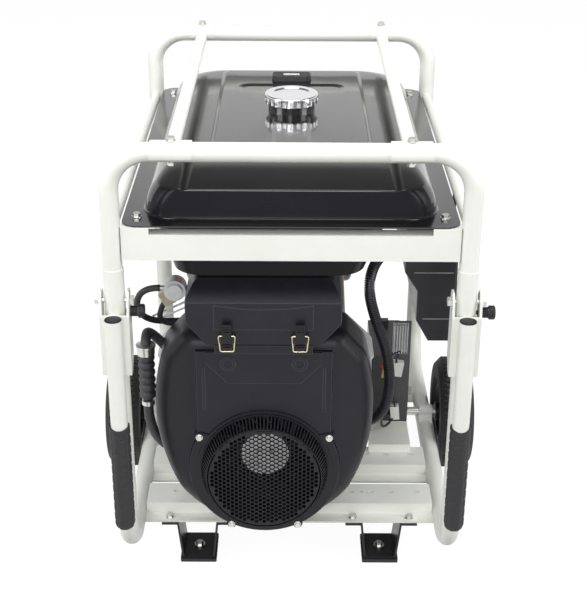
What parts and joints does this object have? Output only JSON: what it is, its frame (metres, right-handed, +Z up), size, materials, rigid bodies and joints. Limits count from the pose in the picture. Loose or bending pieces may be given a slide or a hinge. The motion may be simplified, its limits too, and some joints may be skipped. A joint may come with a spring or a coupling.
{
  "type": "portable generator",
  "caption": "Open-frame portable generator: bent tube frame with wheels and fold-down handles around a fuel tank, a V-twin engine with a honeycomb fan grille, an alternator and a control box.",
  "frame": {"origin": "on the floor under the middle of the overall box", "axes": "+Z up, -Y towards the fan end of the engine, +X towards the control panel"},
  "size_m": [0.8554, 0.9292, 0.9749],
  "materials": {
    "frame_paint": "satin powder coat",
    "tank_paint": "gloss",
    "black_paint": "satin",
    "bright_bolts": "zinc plated",
    "cap_chrome": "polished",
    "black_plastic": "satin",
    "gloss_black": "gloss",
    "black_rubber": "matte",
    "tyre_rubber": "matte",
    "cast_aluminium": "as cast",
    "bare_steel": "machined",
    "dull_steel": "heat dulled",
    "valve_brass": "turned",
    "grey_plastic": "matte",
    "filter_paper": "pleated"
  },
  "bodies": {
    "frame": {"front_hoop": "frame_paint", "rear_hoop": "frame_paint", "side_loop_left": "frame_paint", "side_loop_right": "frame_paint", "top_rails": "frame_paint", "cross_panels": "frame_paint", "tank_rails": "frame_paint", "cross_members": "frame_paint", "foot_brackets": "black_paint", "foot_pads": "black_rubber", "axle": "bare_steel", "axle_brackets": "frame_paint", "frame_bolts": "bright_bolts", "fuel_tank": "tank_paint", "fuel_gauge": "black_plastic", "fuel_valve": "valve_brass", "crankcase": "cast_aluminium", "engine_mounts": "black_rubber", "cylinder_left": "cast_aluminium", "cylinder_right": "cast_aluminium", "valve_covers": "cast_aluminium", "blower_housing": "black_plastic", "fan_grille": "black_plastic", "grille_bolts": "bright_bolts", "air_filter_cover": "black_plastic", "air_filter_element": "filter_paper", "carburetor": "cast_aluminium", "alternator_housing": "cast_aluminium", "alternator_end_cover": "cast_aluminium", "muffler": "dull_steel", "control_box": "black_paint", "control_panel": "black_paint", "battery_tray": "frame_paint", "battery": "gloss_black", "fuel_pump": "grey_plastic", "fuel_hose": "black_rubber", "breather_hose": "black_rubber", "wiring_conduit": "black_plastic"},
    "wheel_left": {"rim_left": "black_paint", "tyre_left": "tyre_rubber"},
    "wheel_right": {"rim_right": "black_paint", "tyre_right": "tyre_rubber"},
    "handle_left": {"handle_left": "frame_paint", "grip_left": "black_rubber"},
    "handle_right": {"handle_right": "frame_paint", "grip_right": "black_rubber"},
    "lock_pin_left": {"lock_pin_left": "black_plastic"},
    "lock_pin_right": {"lock_pin_right": "black_plastic"},
    "fuel_cap": {"fuel_cap": "cap_chrome"},
    "fuel_valve_lever": {"fuel_valve_lever": "valve_brass"},
    "crank": {"crankshaft": "bare_steel", "flywheel_fan": "black_plastic"},
    "latch_lever_left": {"latch_lever_left": "black_plastic"},
    "latch_lever_right": {"latch_lever_right": "black_plastic"},
    "latch_bail_left": {"latch_bail_left": "bare_steel"},
    "latch_bail_right": {"latch_bail_right": "bare_steel"},
    "key_switch": {"key_switch": "bare_steel"},
    "breaker_switch": {"breaker_switch": "black_plastic"},
    "socket_lid_front": {"socket_lid_front": "grey_plastic"},
    "socket_lid_rear": {"socket_lid_rear": "grey_plastic"}
  },
  "joints": [
    {"name": "handle_left_fold", "type": "hinge", "parent": "frame", "child": "handle_left", "pos_m": [-0.32, -0.4061, 0.664], "axis": [-1, 0, 0], "range_deg": [0, 90]},
    {"name": "lock_pin_left_pull", "type": "slide", "parent": "handle_left", "child": "lock_pin_left", "axis": [1, 0, 0], "range_m": [0, 0.01], "stiffness_N_per_m": 600},
    {"name": "wheel_left_roll", "type": "hinge", "parent": "frame", "child": "wheel_left", "pos_m": [-0.3808, 0.1059, 0.13], "axis": [1, 0, 0], "continuous": true},
    {"name": "handle_right_fold", "type": "hinge", "parent": "frame", "child": "handle_right", "pos_m": [0.32, -0.4061, 0.664], "axis": [-1, 0, 0], "range_deg": [0, 90]},
    {"name": "lock_pin_right_pull", "type": "slide", "parent": "handle_right", "child": "lock_pin_right", "axis": [1, 0, 0], "range_m": [0, 0.01], "stiffness_N_per_m": 600},
    {"name": "wheel_right_roll", "type": "hinge", "parent": "frame", "child": "wheel_right", "pos_m": [0.3808, 0.1059, 0.13], "axis": [1, 0, 0], "continuous": true},
    {"name": "fuel_cap_turn", "type": "hinge", "parent": "frame", "child": "fuel_cap", "pos_m": [0, 0.0439, 0.912], "axis": [0, 0, 1], "range_deg": [0, 90]},
    {"name": "fuel_valve_turn", "type": "hinge", "parent": "frame", "child": "fuel_valve_lever", "pos_m": [-0.195, -0.2431, 0.6716], "axis": [0, 1, 0], "range_deg": [0, 90]},
    {"name": "crank_spin", "type": "hinge", "parent": "frame", "child": "crank", "pos_m": [-0.05, -0.1061, 0.282], "axis": [0, 1, 0], "continuous": true},
    {"name": "latch_lever_left_swing", "type": "hinge", "parent": "frame", "child": "latch_lever_left", "pos_m": [-0.118, -0.4031, 0.58], "axis": [1, 0, 0], "range_deg": [0, 100]},
    {"name": "latch_bail_left_swing", "type": "hinge", "parent": "latch_lever_left", "child": "latch_bail_left", "pos_m": [-0.118, -0.4071, 0.591], "axis": [-1, 0, 0], "range_deg": [0, 120]},
    {"name": "latch_lever_right_swing", "type": "hinge", "parent": "frame", "child": "latch_lever_right", "pos_m": [0.018, -0.4031, 0.58], "axis": [1, 0, 0], "range_deg": [0, 100]},
    {"name": "latch_bail_right_swing", "type": "hinge", "parent": "latch_lever_right", "child": "latch_bail_right", "pos_m": [0.018, -0.4071, 0.591], "axis": [-1, 0, 0], "range_deg": [0, 120]},
    {"name": "key_turn", "type": "hinge", "parent": "frame", "child": "key_switch", "pos_m": [0.338, -0.1561, 0.575], "axis": [1, 0, 0], "range_deg": [0, 80]},
    {"name": "breaker_flip", "type": "hinge", "parent": "frame", "child": "breaker_switch", "pos_m": [0.332, -0.0661, 0.575], "axis": [0, -1, 0], "range_deg": [0, 50]},
    {"name": "socket_lid_front_lift", "type": "hinge", "parent": "frame", "child": "socket_lid_front", "pos_m": [0.341, 0.0539, 0.614], "axis": [0, -1, 0], "range_deg": [0, 110], "stiffness_Nm_per_rad": 0.02, "springref_deg": -17.19},
    {"name": "socket_lid_rear_lift", "type": "hinge", "parent": "frame", "child": "socket_lid_rear", "pos_m": [0.341, 0.1439, 0.614], "axis": [0, -1, 0], "range_deg": [0, 110], "stiffness_Nm_per_rad": 0.02, "springref_deg": -17.19}
  ],
  "couplings": [
    {"joint": "latch_bail_left_swing", "follows": "latch_lever_left_swing", "ratio": 1.2},
    {"joint": "latch_bail_right_swing", "follows": "latch_lever_right_swing", "ratio": 1.2}
  ]
}
